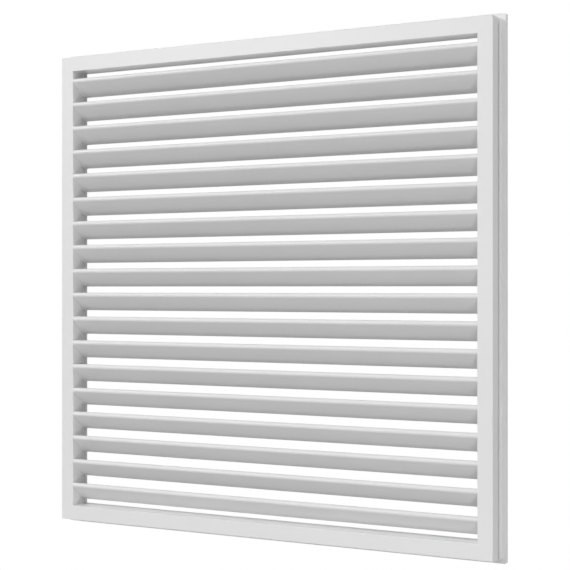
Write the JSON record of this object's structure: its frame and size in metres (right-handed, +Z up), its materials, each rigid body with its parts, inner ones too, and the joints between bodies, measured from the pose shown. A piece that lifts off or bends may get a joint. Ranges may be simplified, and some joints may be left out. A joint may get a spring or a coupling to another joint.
{
  "type": "ventilation grille",
  "caption": "Square white louvred wall grille: a front panel with fixed sloping slats clips onto a flanged frame that is screwed to the wall over an air opening.",
  "frame": {"origin": "centre of the wall face, which is the plane that lies on the wall, in the middle of the four screw holes", "axes": "+Z up as mounted, -Y out of the wall towards the room, so the front of the slats looks along -Y, +X to the right seen from the room"},
  "size_m": [0.3568, 0.0175, 0.3568],
  "materials": {
    "panel_plastic": "satin moulded plastic, white",
    "frame_plastic": "satin moulded plastic, white"
  },
  "bodies": {
    "root": {"front_grille": "panel_plastic", "rear_frame": "frame_plastic"}
  },
  "joints": []
}
